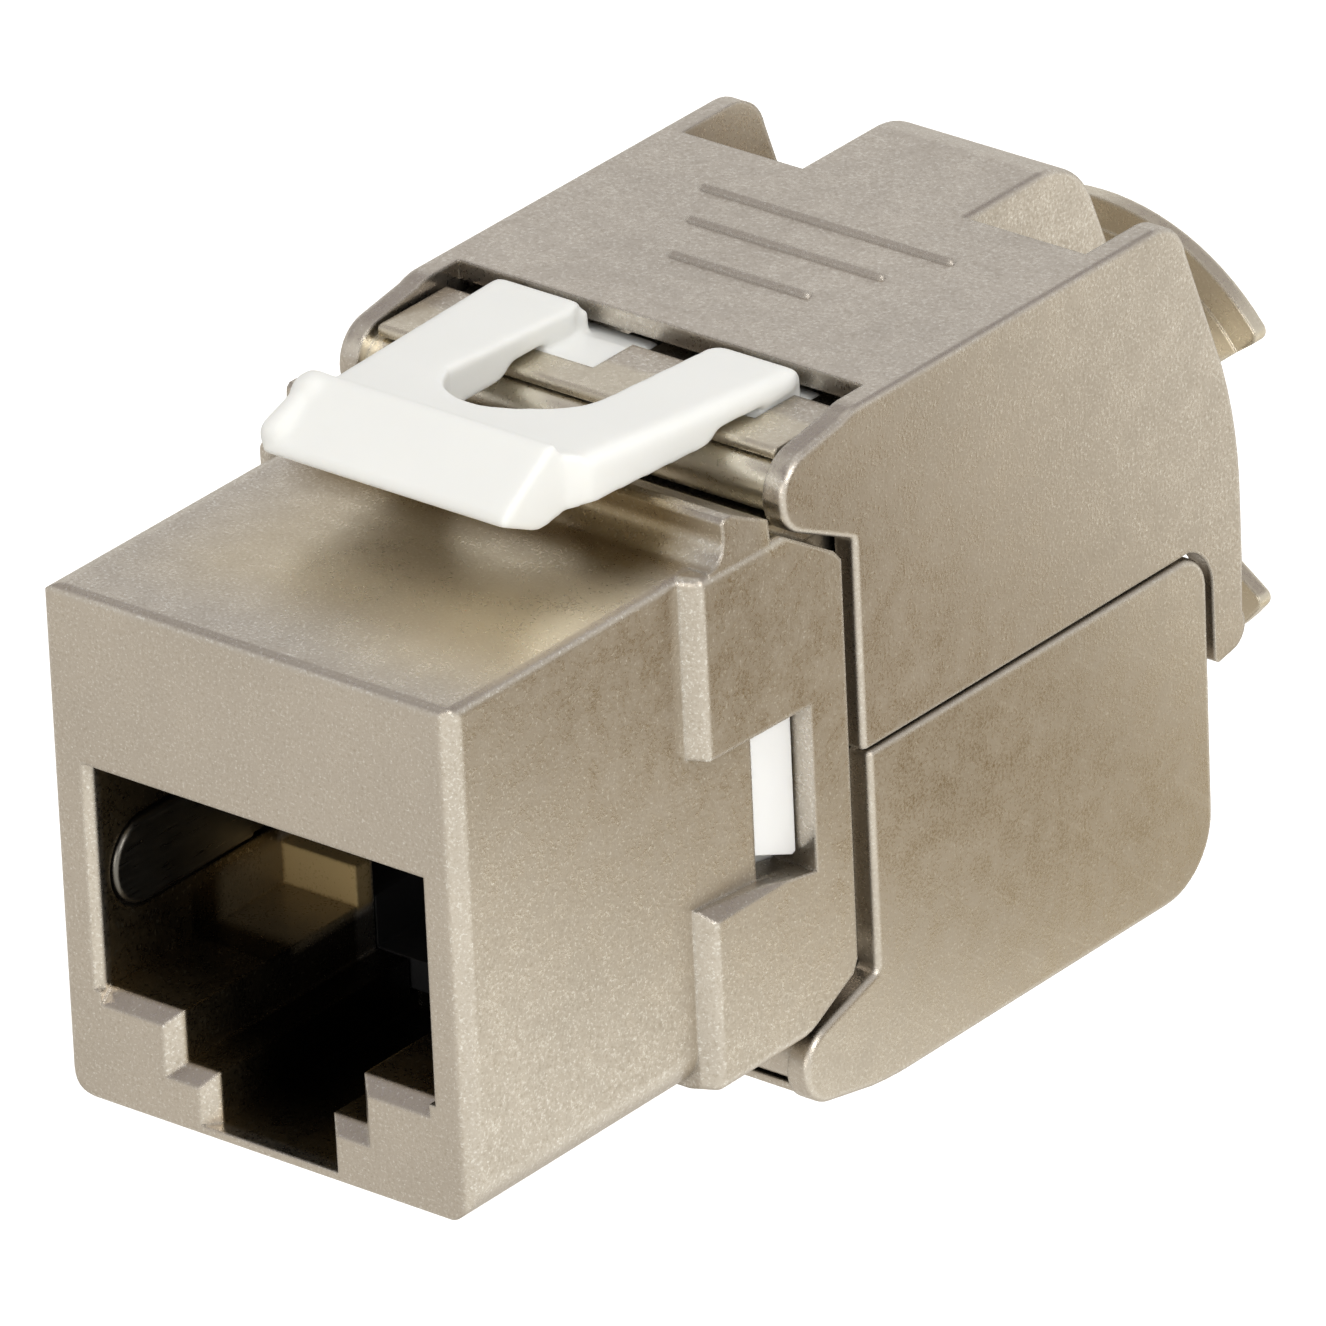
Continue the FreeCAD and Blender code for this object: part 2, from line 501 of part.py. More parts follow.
# ================================================================ terminal block and its eight terminals
blk = box(-5.45, 5.45, 13.7, 19.2, -6.2, 6.2)
blk = blk.cut(box(-2.2, 2.2, 16.0, 19.5, -2.6, 2.6))
for sz in (1, -1):
    for xp in (-5.15, -2.7, 0.0, 2.7, 5.15):
        x0, x1 = (xp - 0.32, xp + 0.32) if abs(xp) < 5 else sorted((math.copysign(5.04, xp), math.copysign(5.45, xp)))
        post = box(x0, x1, 19.1, 22.3, *sorted((sz * 3.5, sz * 5.7)))
        blk = fuse(blk, post)
    for x in IDC_X:
        blk = blk.cut(box(x - 0.35, x + 0.35, 13.0, 15.0, sz * IDC_Z - 0.2, sz * IDC_Z + 0.2))
        blk = blk.cut(box(x - 0.95, x + 0.95, 15.0, 20.0, sz * IDC_Z - 0.2, sz * IDC_Z + 0.2))
keep("terminal_block", blk)

k = 0
for sz in (1, -1):
    for x in IDC_X:
        k += 1
        z0, z1 = sz * IDC_Z - 0.2, sz * IDC_Z + 0.2
        t = fuse(box(x - 0.95, x + 0.95, 15.0, 23.5, z0, z1), box(x - 0.35, x + 0.35, 13.05, 15.0, z0, z1))
        t = t.cut(box(x - 0.14, x + 0.14, 19.4, 24.0, z0 - 1, z1 + 1))
        t = t.cut(prism_z([(x - 0.55, 23.6), (x + 0.55, 23.6), (x + 0.1, 22.3), (x - 0.1, 22.3)], z0 - 1, z1 + 1))
        keep("wire_terminal_%d" % k, t)

# ================================================================ wire manager
wm = box(-6.1, 6.1, 22.8, 26.6, -6.4, 6.2)
wm = fil(wm, 0.5, lambda e: abs(e.Vertexes[0].Y - e.Vertexes[-1].Y) > 3)
wm = wm.cut(cyl_y(0, ZS, 3.1, 20, 30))
wm = wm.cut(Part.makeCone(3.1, 3.9, 1.4, V(0, 25.25, ZS), V(0, 1, 0)))
for sz in (1, -1):
    for x in IDC_X:
        # groove that the wire lies in, and the pocket that takes the terminal's fork
        wm = wm.cut(box(x - 0.5, x + 0.5, 22.0, 23.9, *sorted((sz * 2.2, sz * 7.0))))
        wm = wm.cut(box(x - 1.1, x + 1.1, 22.0, 24.3, sz * IDC_Z - 0.35, sz * IDC_Z + 0.35))
keep("wire_manager", wm)

# ================================================================ side ground springs in the port walls
for s, name in ((-1, "ground_spring_left"), (1, "ground_spring_right")):
    x0, x1 = sorted((s * 5.72, s * 6.15))
    sp = fuse(box(x0, x1, 2.1, 8.5, -2.4, 0.2), cyl_x(2.1, -1.1, 1.3, x0, x1))
    sp = fil(sp, 0.16, lambda e: near(e, x=5.72) and e.BoundBox.YMax < 8.6 and not near(e, y=8.5))
    # the spring bows inwards behind its tip and runs back into the wall
    sp = sp.cut(prism_x([(6.6, -3.0), (9.0, -3.0), (9.0, 1.0), (6.6, 1.0)], *sorted((s * 5.6, s * 5.95))))
    keep(name, sp)

total = sum(p.Volume for p in PARTS.values())
print("nodes", len(PARTS), "volume mm3 %.1f" % total)
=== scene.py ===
import math

import bpy
from mathutils import Matrix, Vector


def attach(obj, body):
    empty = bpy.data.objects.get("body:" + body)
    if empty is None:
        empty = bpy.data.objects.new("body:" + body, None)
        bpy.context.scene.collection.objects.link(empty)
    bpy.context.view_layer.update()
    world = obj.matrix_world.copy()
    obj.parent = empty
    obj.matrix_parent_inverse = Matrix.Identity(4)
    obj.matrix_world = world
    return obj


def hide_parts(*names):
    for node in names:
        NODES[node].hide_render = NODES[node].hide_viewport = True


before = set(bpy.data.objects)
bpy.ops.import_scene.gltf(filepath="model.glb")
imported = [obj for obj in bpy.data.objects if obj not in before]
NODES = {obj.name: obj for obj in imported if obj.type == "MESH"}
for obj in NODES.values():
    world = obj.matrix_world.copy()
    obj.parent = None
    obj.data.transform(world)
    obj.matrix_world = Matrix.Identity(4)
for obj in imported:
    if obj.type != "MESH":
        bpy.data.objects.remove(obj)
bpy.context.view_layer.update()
MM = 0.001


# ---------------------------------------------------------------- camera
# The photograph's viewing angle: azimuth 39.9, elevation 26.6, a long lens
# half a metre away, rolled by 2.6 degrees.
cam_data = bpy.data.cameras.new("camera")
cam_data.sensor_fit = "HORIZONTAL"
cam_data.sensor_width = 36.0
cam_data.lens = 527.97
cam_data.clip_start = 0.02
cam_data.clip_end = 20.0
camera = bpy.data.objects.new("camera", cam_data)
bpy.context.scene.collection.objects.link(camera)
camera.matrix_world = Matrix((
    (0.7796457, -0.2516990, 0.5734109, 0.3106480),
    (0.6248793, 0.3725972, -0.6860737, -0.3539317),
    (-0.0409673, 0.8932071, 0.4477754, 0.2425778),
    (0.0, 0.0, 0.0, 1.0)))
bpy.context.scene.camera = camera


# ---------------------------------------------------------------- node helpers
class Tree:
    """A small wrapper round a material's node tree."""

    def __init__(self, name):
        self.mat = bpy.data.materials.new(name)
        self.mat.use_nodes = True
        self.t = self.mat.node_tree
        self.t.nodes.clear()
        self.out = self.t.nodes.new("ShaderNodeOutputMaterial")
        self.bsdf = self.t.nodes.new("ShaderNodeBsdfPrincipled")
        self.t.links.new(self.bsdf.outputs[0], self.out.inputs[0])
        coord = self.t.nodes.new("ShaderNodeTexCoord")
        scale = self.t.nodes.new("ShaderNodeMapping")
        scale.inputs["Scale"].default_value = (1000, 1000, 1000)
        self.t.links.new(coord.outputs["Object"], scale.inputs["Vector"])
        self.mm = scale.outputs["Vector"]

    def new(self, kind, **props):
        n = self.t.nodes.new(kind)
        for k, v in props.items():
            setattr(n, k, v)
        return n

    def link(self, a, b):
        self.t.links.new(a, b)

    def put(self, socket, value):
        if isinstance(value, bpy.types.NodeSocket):
            self.t.links.new(value, socket)
        else:
            socket.default_value = value

    def math(self, op, a, b=0.0, clamp=False):
        n = self.new("ShaderNodeMath", operation=op, use_clamp=clamp)
        self.put(n.inputs[0], a)
        self.put(n.inputs[1], b)
        return n.outputs[0]

    def noise(self, size, detail=2.0, rough=0.5, distort=0.0, vec=None):
        """Noise whose main feature is about size millimetres across."""
        n = self.new("ShaderNodeTexNoise")
        self.put(n.inputs["Vector"], vec or self.mm)
        n.inputs["Scale"].default_value = 1.0 / size
        n.inputs["Detail"].default_value = detail
        n.inputs["Roughness"].default_value = rough
        n.inputs["Distortion"].default_value = distort
        return n.outputs["Fac"]

    def cells(self, size, feature="F1", vec=None):
        n = self.new("ShaderNodeTexVoronoi", feature=feature)
        self.put(n.inputs["Vector"], vec or self.mm)
        n.inputs["Scale"].default_value = 1.0 / size
        return n

    def ramp(self, fac, stops, interp="LINEAR"):
        n = self.new("ShaderNodeValToRGB")
        n.color_ramp.interpolation = interp
        e = n.color_ramp.elements
        while len(e) > 1:
            e.remove(e[-1])
        for i, (pos, col) in enumerate(stops):
            if not hasattr(col, "__len__"):
                col = (col, col, col)
            if i == 0:
                e[0].position = pos
                el = e[0]
            else:
                el = e.new(pos)
            el.color = (*col, 1.0)
        self.put(n.inputs[0], fac)
        return n.outputs["Color"]

    def range(self, v, a, b, c, d):
        n = self.new("ShaderNodeMapRange", clamp=True)
        self.put(n.inputs["Value"], v)
        for k, x in zip(("From Min", "From Max", "To Min", "To Max"), (a, b, c, d)):
            n.inputs[k].default_value = x
        return n.outputs["Result"]

    def mix(self, fac, a, b, blend="MIX"):
        n = self.new("ShaderNodeMix", data_type="RGBA", blend_type=blend)
        self.put(n.inputs["Factor"], fac)
        ins = [s for s in n.inputs if s.type == "RGBA"]
        for sock, v in zip(ins, (a, b)):
            if isinstance(v, bpy.types.NodeSocket):
                self.link(v, sock)
            else:
                sock.default_value = (*v, 1.0)
        return [s for s in n.outputs if s.type == "RGBA"][0]

    def bump(self, height, strength, distance, normal=None):
        n = self.new("ShaderNodeBump")
        self.put(n.inputs["Height"], height)
        n.inputs["Strength"].default_value = strength
        n.inputs["Distance"].default_value = distance
        if normal is not None:
            self.link(normal, n.inputs["Normal"])
        return n.outputs["Normal"]

    def edges(self, radius, low=0.005, high=0.09):
        """1 near a convex or concave edge, 0 on the faces."""
        b = self.new("ShaderNodeBevel", samples=3)
        b.inputs["Radius"].default_value = radius
        g = self.new("ShaderNodeNewGeometry")
        d = self.new("ShaderNodeVectorMath", operation="DOT_PRODUCT")
        self.link(b.outputs[0], d.inputs[0])
        self.link(g.outputs["Normal"], d.inputs[1])
        inv = self.math("SUBTRACT", 1.0, d.outputs["Value"])
        return self.range(inv, low, high, 0.0, 1.0), b.outputs[0]


    def crevice(self, distance, low=0.15, high=0.85):
        """1 deep in a narrow gap or corner, 0 in the open."""
        n = self.new("ShaderNodeAmbientOcclusion", samples=3)
        n.inputs["Distance"].default_value = distance
        return self.range(n.outputs["AO"], low, high, 1.0, 0.0)

    def inside(self, lo, hi, soft=0.05):
        """1 within an upright box given in millimetres, fading over soft."""
        sep = self.new("ShaderNodeSeparateXYZ")
        self.link(self.mm, sep.inputs[0])
        f = None
        for axis, a, b in zip("XYZ", lo, hi):
            v = sep.outputs[axis]
            for k in (self.range(v, a - soft, a + soft, 0.0, 1.0), self.range(v, b - soft, b + soft, 1.0, 0.0)):
                f = k if f is None else self.math("MULTIPLY", f, k)
        return f


# ---------------------------------------------------------------- materials
def housing_extra(m, base):
    """Painted light and shade on the housing: the port's inside is painted brown
    as shade, darker towards the back and near black low down, with a few
    brighter specks; the shelf is painted from shade to a lit tan on its stop;
    the block's top gets painted reflections, highlights and shade in patches."""
    specks = m.range(m.noise(0.17, 1.0, 0.5), 0.65, 0.71, 0.0, 0.7)
    sep = m.new("ShaderNodeSeparateXYZ")
    m.link(m.mm, sep.inputs[0])
    # painted shade: the port's inside is painted brown, darker towards the back, with a few brighter specks
    back = m.range(sep.outputs["Y"], 0.3, 2.6, 0.0, 1.0)
    brown = m.mix(back, (0.46, 0.36, 0.21), (0.155, 0.120, 0.070))
    deep = m.mix(specks, brown, (0.42, 0.37, 0.28))
    port = m.inside((-5.95, 0.46, -8.0), (5.95, 7.8, 5.75), 0.1)
    base = m.mix(m.math("MULTIPLY", port, 0.94), base, deep)
    # painted shade and light: the shelf is painted dark at its front, turning tan towards its back, and its stop
    # face a lit tan
    shelf = m.inside((-5.95, 4.0, -4.52), (5.95, 8.6, -3.0), 0.1)
    tan = m.mix(m.range(sep.outputs["Y"], 4.0, 7.7, 0.0, 1.0), (0.07, 0.055, 0.035), (0.26, 0.20, 0.11))
    tan = m.mix(m.range(sep.outputs["Y"], 7.86, 7.92, 0.0, 1.0), tan, (0.50, 0.36, 0.16))
    base = m.mix(m.math("MULTIPLY", shelf, 0.97), base, tan)
    # painted shade: low in the port the housing is painted near black, fading in from the mouth
    black = m.inside((-3.12, 0.5, -8.0), (3.12, 13.0, -4.5), 0.06)
    black = m.math("MULTIPLY", black, m.range(sep.outputs["Y"], 0.5, 3.2, 0.1, 1.0))
    base = m.mix(m.math("MULTIPLY", black, 0.9), base, (0.02, 0.017, 0.013))

    # the block's top, with painted light and shade in soft patches
    top = m.range(sep.outputs["Z"], 7.80, 7.87, 0.0, 1.0)

    def painted_light_patch(x0, x1, y0, y1, soft, amount):
        v = m.math("MULTIPLY", top, amount)
        for s, a, b in ((sep.outputs["X"], x0, x1), (sep.outputs["Y"], y0, y1)):
            v = m.math("MULTIPLY", v, m.range(s, a - soft, a + soft, 0.0, 1.0))
            v = m.math("MULTIPLY", v, m.range(s, b - soft, b + soft, 1.0, 0.0))
        return v

    # painted light: the channel between the ridge and the hinge rod is lightened against its shade
    channel_painted_light = m.inside((-7.8, 12.9, 7.3), (7.8, 16.3, 10.4), 0.15)
    base = m.mix(m.math("MULTIPLY", channel_painted_light, 0.5), base, (0.88, 0.80, 0.63))
    # painted reflection and shadow of the latch: a warm patch on the block's top under it
    base = m.mix(painted_light_patch(-5.0, 8.0, 2.4, 9.6, 1.3, 0.5), base, (0.76, 0.64, 0.43))
    # painted highlight: a brighter warm patch on the block's top to the right of the latch
    base = m.mix(painted_light_patch(2.6, 8.5, 1.4, 8.0, 1.4, 0.65), base, (1.0, 0.88, 0.66))
    # painted shade: a dark brown band on the block's top where it meets the ridge
    return m.mix(painted_light_patch(-5.5, 6.4, 9.0, 12.0, 0.75, 0.75), base, (0.30, 0.215, 0.09))


def nickel(name, tint=(0.665, 0.605, 0.525), rough=0.31, grain=1.0, polish=0.16, dull=0.62, extra=None):
    """Satin nickel over a zinc casting: a fine sparkling grain, slow changes
    of tone, painted shade in the crevices, and edges rubbed a little
    brighter by tumbling."""
    m = Tree(name)
    slow = m.noise(5.5, 2.0, 0.5)
    mid = m.noise(0.9, 3.0, 0.6)
    fine = m.noise(0.10, 2.0, 0.6)
    coarse = m.noise(0.26, 2.0, 0.55)
    spark = m.noise(0.075, 0.0, 0.5)
    speck = m.cells(0.16)
    edge, bent = m.edges(0.00015, 0.01, 0.16)
    gap = m.crevice(0.0011)

    base = m.mix(m.range(slow, 0.3, 0.7, 0.0, 1.0), tuple(c * 0.95 for c in tint),
                 tuple(min(1, c * 1.04) for c in tint))
    base = m.mix(m.range(mid, 0.35, 0.68, 0.0, 0.25), base, tuple(c * 0.82 for c in tint))
    base = m.mix(m.range(coarse, 0.44, 0.30, 0.0, 0.15 * grain), base, tuple(c * k for c, k in zip(tint, (0.68, 0.63, 0.55))))
    base = m.mix(m.range(fine, 0.44, 0.30, 0.0, 0.40 * grain), base, tuple(c * k for c, k in zip(tint, (0.62, 0.58, 0.50))))
    base = m.mix(m.range(fine, 0.56, 0.70, 0.0, 0.60 * grain), base, (0.90, 0.87, 0.80))
    base = m.mix(m.range(spark, 0.70, 0.76, 0.0, 0.55 * grain), base, (1.0, 0.98, 0.92))
    base = m.mix(m.math("MULTIPLY", edge, polish), base, (0.80, 0.77, 0.72))
    # painted shade: crevices and narrow gaps are darkened by an occlusion mask, as much as dull says
    base = m.mix(m.math("MULTIPLY", gap, dull), base, (0.10, 0.082, 0.058))
    if extra is not None:
        base = extra(m, base)
    m.link(base, m.bsdf.inputs["Base Color"])
    if extra is housing_extra:
        # the stop face, painted a lit tan, is made mostly non-metallic so that it takes light diffusely
        stop = m.inside((-5.95, 5.2, -4.5), (5.95, 8.6, -3.0), 0.25)
        m.link(m.math("SUBTRACT", 1.0, m.math("MULTIPLY", stop, 0.85)), m.bsdf.inputs["Metallic"])
    else:
        m.bsdf.inputs["Metallic"].default_value = 1.0

    r = m.range(mid, 0.3, 0.7, rough - 0.03, rough + 0.05)
    r = m.math("ADD", r, m.range(fine, 0.35, 0.7, 0.05, -0.07))
    r = m.math("SUBTRACT", r, m.math("MULTIPLY", edge, 0.06))
    m.link(r, m.bsdf.inputs["Roughness"])

    h = m.math("ADD", m.math("MULTIPLY", fine, 1.0), m.math("MULTIPLY", mid, 0.7))
    h = m.math("ADD", h, m.math("MULTIPLY", speck.outputs["Distance"], 0.2))
    n = m.bump(h, 0.24 * grain, 0.00002, bent)
    m.link(n, m.bsdf.inputs["Normal"])
    return m.mat


def lower_extra(m, base):
    """Faint slanting lines left by brushing."""
    turn = m.new("ShaderNodeMapping")
    turn.inputs["Rotation"].default_value = (math.radians(38), 0, 0)
    m.link(m.mm, turn.inputs["Vector"])
    thin = m.new("ShaderNodeMapping")
    thin.inputs["Scale"].default_value = (1.0, 0.35, 7.0)
    m.link(turn.outputs["Vector"], thin.inputs["Vector"])
    lines = m.noise(1.6, 2.0, 0.6, vec=thin.outputs["Vector"])
    base = m.mix(m.range(lines, 0.56, 0.72, 0.0, 0.22), base, (0.84, 0.80, 0.73))
    # painted highlight: the outlet's arc is lightened
    return m.mix(m.math("MULTIPLY", outlet(m), 0.5), base, (0.92, 0.84, 0.66))


def cover_extra(m, base):
    """The hinge rod and the outlet's arc get painted highlights: their
    colour is lightened.
    """
    hinge_rod_painted_highlight = m.inside((-7.6, 13.9, 7.6), (7.6, 15.75, 9.7), 0.12)
    # painted highlight: the hinge rod is lightened
    base = m.mix(m.math("MULTIPLY", hinge_rod_painted_highlight, 0.75), base, (0.98, 0.92, 0.78))
    # painted highlight: the outlet's arc is lightened
    return m.mix(m.math("MULTIPLY", outlet(m), 0.5), base, (0.92, 0.84, 0.66))


def outlet(m):
    """1 on the cable outlet's arc, which gets a painted highlight."""
    return m.inside((-7.0, 35.2, -9.0), (7.0, 39.0, 9.0), 0.3)


def white_plastic(name, tint=(0.77, 0.775, 0.75), rough=0.36, scatter=0.18):
    """Moulded white nylon: faintly mottled, softly shining, a little light
    passing through its thin parts."""
    m = Tree(name)
    slow = m.noise(3.5, 2.0, 0.5)
    fine = m.noise(0.22, 2.0, 0.6)
    base = m.mix(m.range(slow, 0.3, 0.7, 0.0, 1.0), tuple(c * 0.975 for c in tint), tint)
    base = m.mix(m.range(fine, 0.62, 0.74, 0.0, 0.12), base, tuple(c * 0.93 for c in tint))
    m.link(base, m.bsdf.inputs["Base Color"])
    m.link(m.range(slow, 0.3, 0.7, rough, rough + 0.08), m.bsdf.inputs["Roughness"])
    m.bsdf.inputs["Subsurface Weight"].default_value = scatter
    m.bsdf.inputs["Subsurface Radius"].default_value = (1.0, 0.9, 0.75)
    m.bsdf.inputs["Subsurface Scale"].default_value = 0.0006
    m.bsdf.inputs["IOR"].default_value = 1.5
    h = m.math("ADD", fine, m.math("MULTIPLY", slow, 2.0))
    _, bent = m.edges(0.00006)
    m.link(m.bump(h, 0.12, 0.000012, bent), m.bsdf.inputs["Normal"])
    return m.mat


def plastic(name, tint, rough=0.42, texture=0.2):
    """Spark-eroded moulded plastic with a fine even texture."""
    m = Tree(name)
    slow = m.noise(2.6, 2.0, 0.5)
    fine = m.noise(0.11, 3.0, 0.7)
    base = m.mix(m.range(slow, 0.3, 0.7, 0.0, 1.0), tuple(c * 0.86 for c in tint),
                 tuple(min(1, c * 1.1) for c in tint))
    edge, bent = m.edges(0.00008, 0.01, 0.2)
    base = m.mix(m.math("MULTIPLY", edge, 0.35), base, tuple(min(1, c * 1.5 + 0.02) for c in tint))
    m.link(base, m.bsdf.inputs["Base Color"])
    m.link(m.range(fine, 0.3, 0.7, rough - 0.06, rough + 0.09), m.bsdf.inputs["Roughness"])
    m.link(m.bump(fine, texture, 0.00002, bent), m.bsdf.inputs["Normal"])
    return m.mat


def plated(name, tint, rough=0.2, dull=(0.5, 0.4, 0.25)):
    """Stamped and plated sheet metal with fine drawing lines."""
    m = Tree(name)
    stretch = m.new("ShaderNodeMapping")
    stretch.inputs["Scale"].default_value = (14.0, 1.0, 14.0)
    m.link(m.mm, stretch.inputs["Vector"])
    lines = m.noise(1.2, 3.0, 0.6, vec=stretch.outputs["Vector"])
    slow = m.noise(1.4, 2.0, 0.5)
    base = m.mix(m.range(slow, 0.42, 0.7, 0.0, 0.35), tint, dull)
    base = m.mix(m.range(lines, 0.55, 0.75, 0.0, 0.3), base, tuple(min(1, c * 1.15) for c in tint))
    edge, bent = m.edges(0.00005, 0.02, 0.2)
    m.link(base, m.bsdf.inputs["Base Color"])
    m.bsdf.inputs["Metallic"].default_value = 1.0
    m.link(m.range(lines, 0.3, 0.7, rough - 0.05, rough + 0.1), m.bsdf.inputs["Roughness"])
    m.link(m.bump(lines, 0.25, 0.00001, bent), m.bsdf.inputs["Normal"])
    return m.mat


def board_mat(name):
    """Green solder mask over glass cloth, with copper runs just showing."""
    m = Tree(name)
    weave = m.new("ShaderNodeTexWave", wave_type="BANDS", bands_direction="X")
    m.link(m.mm, weave.inputs["Vector"])
    weave.inputs["Scale"].default_value = 0.55
    weave.inputs["Distortion"].default_value = 0.6
    slow = m.noise(2.0, 2.0)
    base = m.mix(m.range(slow, 0.3, 0.7, 0.0, 1.0), (0.012, 0.085, 0.04), (0.018, 0.12, 0.055))
    base = m.mix(m.range(weave.outputs["Fac"], 0.62, 0.68, 0.0, 0.5), base, (0.03, 0.2, 0.07))
    m.link(base, m.bsdf.inputs["Base Color"])
    m.link(m.range(slow, 0.3, 0.7, 0.22, 0.3), m.bsdf.inputs["Roughness"])
    _, bent = m.edges(0.00005)
    m.link(m.bump(m.range(weave.outputs["Fac"], 0.6, 0.7, 0.0, 1.0), 0.3, 0.00002, bent),
           m.bsdf.inputs["Normal"])
    return m.mat


SHELL = nickel("satin_nickel_housing", extra=housing_extra)
COVER = nickel("satin_nickel_cover", dull=0.5, tint=(0.67, 0.61, 0.535), rough=0.30, grain=0.78,
               polish=0.26, extra=cover_extra)
LOWER = nickel("satin_nickel_lower", tint=(0.66, 0.60, 0.52), rough=0.29, grain=0.62, extra=lower_extra)
WHITE = white_plastic("white_nylon")
INSERT = white_plastic("white_insert", tint=(0.75, 0.75, 0.735), rough=0.42)
DARK = plastic("black_polyester", (0.018, 0.018, 0.019), 0.38)
BLOCKP = plastic("charcoal_polyester", (0.035, 0.035, 0.037), 0.45)
GREY = plastic("grey_polycarbonate", (0.30, 0.31, 0.31), 0.42)
GOLD = plated("gold_plate", (0.86, 0.62, 0.26), 0.16, (0.72, 0.5, 0.2))
TIN = plated("tinned_bronze", (0.74, 0.72, 0.67), 0.26, (0.6, 0.56, 0.5))
# painted shade: the nickelled spring steel is given a near-black colour for the port's shade it reflects; its
# drawing lines are its own
SPRING_PAINTED_SHADE = plated("nickelled_spring_steel_painted_shade", (0.20, 0.19, 0.17), 0.3, (0.12, 0.11, 0.095))
BOARD = board_mat("solder_mask")


def dress(node, mat):
    o = NODES[node]
    me = o.data
    me.materials.clear()
    me.materials.append(mat)


for n in NODES:
    if n in ("front_housing",):
        dress(n, SHELL)
    elif n == "upper_cover":
        dress(n, COVER)
    elif n == "lower_cover":
        dress(n, LOWER)
    elif n == "keystone_latch":
        dress(n, WHITE)
    elif n == "insert_frame":
        dress(n, INSERT)
    elif n == "contact_carrier":
        dress(n, DARK)
    elif n == "terminal_block":
        dress(n, BLOCKP)
    elif n == "wire_manager":
        dress(n, GREY)
    elif n.startswith("jack_contact"):
        dress(n, GOLD)
    elif n.startswith("wire_terminal"):
        dress(n, TIN)
    elif n.startswith("ground_spring"):
        dress(n, SPRING_PAINTED_SHADE)
    elif n == "circuit_board":
        dress(n, BOARD)
    else:
        dress(n, SPRING_PAINTED_SHADE)


# ---------------------------------------------------------------- soft mouldings
def soft_copy(node, body, name, voxel, rounds, factor=0.5):
    """A copy of a moulded node with every edge softened, as a moulding has
    them. It stays inside the node's own box."""
    src = NODES[node]
    me = src.data.copy()
    me.name = name
    me.transform(Matrix.Scale(1000.0, 4))
    o = bpy.data.objects.new(name, me)
    bpy.context.scene.collection.objects.link(o)
    r = o.modifiers.new("remesh", "REMESH")
    r.mode = "VOXEL"
    r.voxel_size = voxel
    r.use_smooth_shade = True
    sm = o.modifiers.new("smooth", "SMOOTH")
    sm.factor = factor
    sm.iterations = rounds
    dg = bpy.context.evaluated_depsgraph_get()
    out = bpy.data.meshes.new_from_object(o.evaluated_get(dg))
    out.transform(Matrix.Scale(0.001, 4))
    out.name = name + "_mesh"
    lo = [min(v.co[k] for v in src.data.vertices) for k in range(3)]
    hi = [max(v.co[k] for v in src.data.vertices) for k in range(3)]
    for v in out.vertices:
        v.co = [min(max(v.co[k], lo[k]), hi[k]) for k in range(3)]
    o.modifiers.clear()
    o.data = out
    bpy.data.meshes.remove(me)
    o.matrix_world = src.matrix_world.copy()
    out.materials.clear()
    out.materials.append(src.data.materials[0])
    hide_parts(node)
    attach(o, body)
    return o


soft_copy("keystone_latch", "latch", "latch_moulding", 0.085, 16)


# ---------------------------------------------------------------- floor and light
def plane(name, x0, x1, y0, y1, z, mat):
    me = bpy.data.meshes.new(name)
    me.from_pydata([(x0, y0, z), (x1, y0, z), (x1, y1, z), (x0, y1, z)], [], [(0, 1, 2, 3)])
    me.materials.append(mat)
    o = bpy.data.objects.new(name, me)
    bpy.context.scene.collection.objects.link(o)
    return o


def floor_mat():
    m = Tree("pale_floor")
    m.bsdf.inputs["Base Color"].default_value = (0.93, 0.93, 0.925, 1)
    m.bsdf.inputs["Roughness"].default_value = 0.85
    m.bsdf.inputs["Emission Color"].default_value = (1.0, 1.0, 1.0, 1)
    m.bsdf.inputs["Emission Strength"].default_value = 0.30
    return m.mat


def card_mat():
    """What the metal's lower reflections see: a pale table with a soft warm
    dark band behind and to the right of the object."""
    m = Tree("table_card")
    m.t.nodes.remove(m.bsdf)
    e = m.new("ShaderNodeEmission")
    sep = m.new("ShaderNodeSeparateXYZ")
    m.link(m.mm, sep.inputs[0])
    x, y = sep.outputs["X"], sep.outputs["Y"]

    def ease(v):
        return m.math("MULTIPLY", m.math("MULTIPLY", v, v), m.math("SUBTRACT", 3.0, m.math("MULTIPLY", v, 2.0)))

    # the band starts along a straight line, and its far side runs away to the right
    start = ease(m.range(y, 49.0, 66.0, 0.0, 1.0))
    lean = m.math("MULTIPLY", m.math("MAXIMUM", m.math("SUBTRACT", x, 50.0), 0.0), 0.8)
    end = ease(m.range(m.math("SUBTRACT", y, lean), 72.5, 85.0, 1.0, 0.0))
    weight = m.math("MULTIPLY", m.math("MULTIPLY", start, end), m.range(x, 33.0, 42.5, 0.35, 1.0))
    band = m.ramp(weight, [(0.0, (1.07, 1.055, 0.99)), (0.4, (0.74, 0.645, 0.46)), (1.0, (0.14, 0.07, 0.0))])
    front = (0.68, 0.645, 0.59)
    right = m.range(x, 5.0, 22.0, 0.0, 1.0)
    both = m.mix(right, front, band)
    near = m.math("MULTIPLY", m.range(x, 18.0, 34.0, 0.0, 1.0), m.range(y, 0.0, 22.0, 1.0, 0.0))
    e.inputs["Strength"].default_value = 1.0
    m.link(m.mix(near, both, (0.98, 0.96, 0.90)), e.inputs["Color"])
    m.link(e.outputs[0], m.out.inputs[0])
    return m.mat


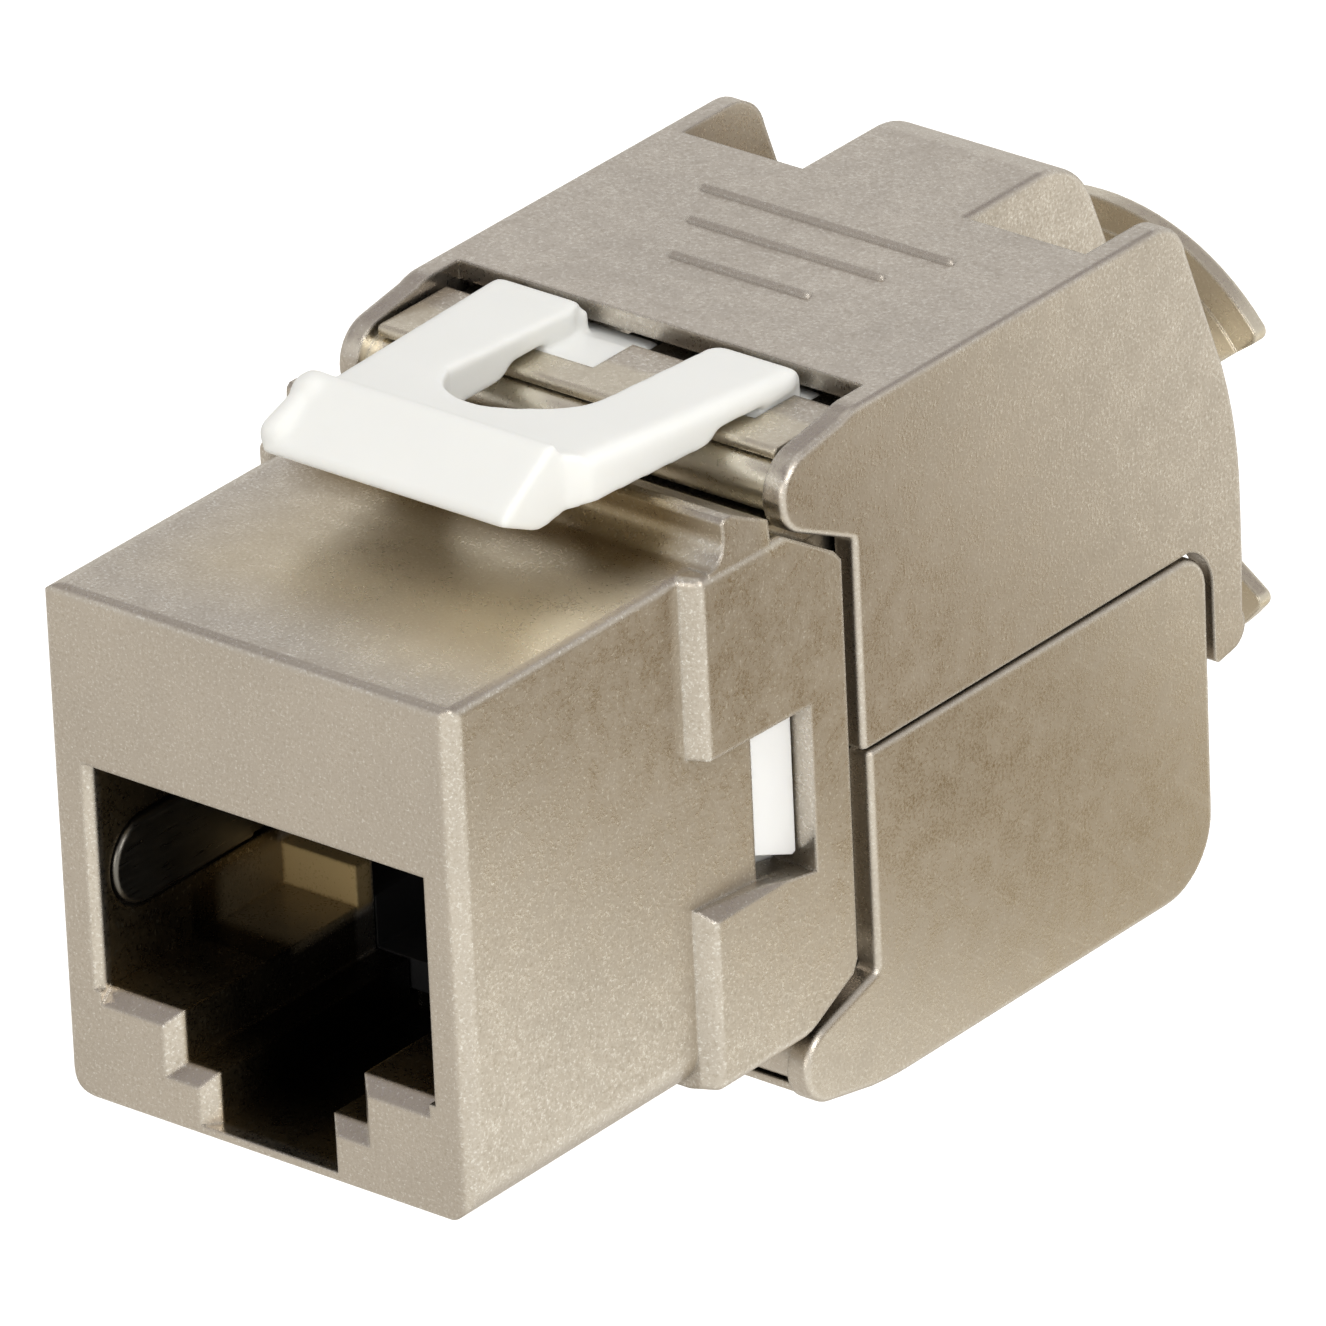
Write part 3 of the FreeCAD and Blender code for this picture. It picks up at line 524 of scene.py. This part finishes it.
FLOOR_Z = -0.0345
floor = plane("floor", -3, 3, -3, 3, FLOOR_Z, floor_mat())
floor.visible_glossy = False
card = plane("table_card", -0.6, 0.6, -0.6, 0.6, FLOOR_Z + 0.0002, card_mat())
card.visible_camera = False
card.visible_diffuse = False
card.visible_transmission = False
card.visible_shadow = False
card.visible_volume_scatter = False

world = bpy.data.worlds.new("studio")
bpy.context.scene.world = world
world.use_nodes = True
wt = world.node_tree
wt.nodes.clear()
wout = wt.nodes.new("ShaderNodeOutputWorld")
wbg = wt.nodes.new("ShaderNodeBackground")
wt.links.new(wbg.outputs[0], wout.inputs[0])
wco = wt.nodes.new("ShaderNodeTexCoord")
wsep = wt.nodes.new("ShaderNodeSeparateXYZ")
wt.links.new(wco.outputs["Generated"], wsep.inputs[0])
wr = wt.nodes.new("ShaderNodeValToRGB")
wt.links.new(wsep.outputs["Z"], wr.inputs[0])
els = wr.color_ramp.elements
els[0].position, els[0].color = 0.0, (0.66, 0.65, 0.62, 1)
els[1].position, els[1].color = 0.32, (0.80, 0.79, 0.77, 1)
for pos, col in ((0.48, (0.78, 0.775, 0.76, 1)), (0.62, (0.28, 0.25, 0.255, 1)), (0.735, (0.28, 0.25, 0.255, 1)),
                 (0.84, (0.66, 0.65, 0.63, 1)), (1.0, (0.72, 0.71, 0.69, 1))):
    els.new(pos).color = col
wt.links.new(wr.outputs["Color"], wbg.inputs["Color"])
wbg.inputs["Strength"].default_value = 1.0


def area(name, loc, target, size, power, color=(1, 1, 1)):
    d = bpy.data.lights.new(name, "AREA")
    d.shape = "RECTANGLE"
    d.size, d.size_y = size
    d.energy = power
    d.color = color
    o = bpy.data.objects.new(name, d)
    bpy.context.scene.collection.objects.link(o)
    o.location = loc
    o.rotation_euler = (Vector(target) - Vector(loc)).to_track_quat("-Z", "Y").to_euler()
    return o


area("key", (0.80, -0.22, 0.50), (0, 0.018, 0), (0.5, 0.5), 3.6, (1.0, 0.995, 0.98))
area("front", (0.12, -0.80, 0.14), (0, 0, 0), (0.35, 0.35), 0.9, (1.0, 0.98, 0.94))
top_light = area("top", (0.15, 0.1, 1.0), (0, 0.018, 0), (0.7, 0.7), 4.2, (1.0, 1.0, 1.0))
top_light.visible_glossy = False

view = bpy.context.scene.view_settings
view.view_transform = "Standard"
view.look = "None"
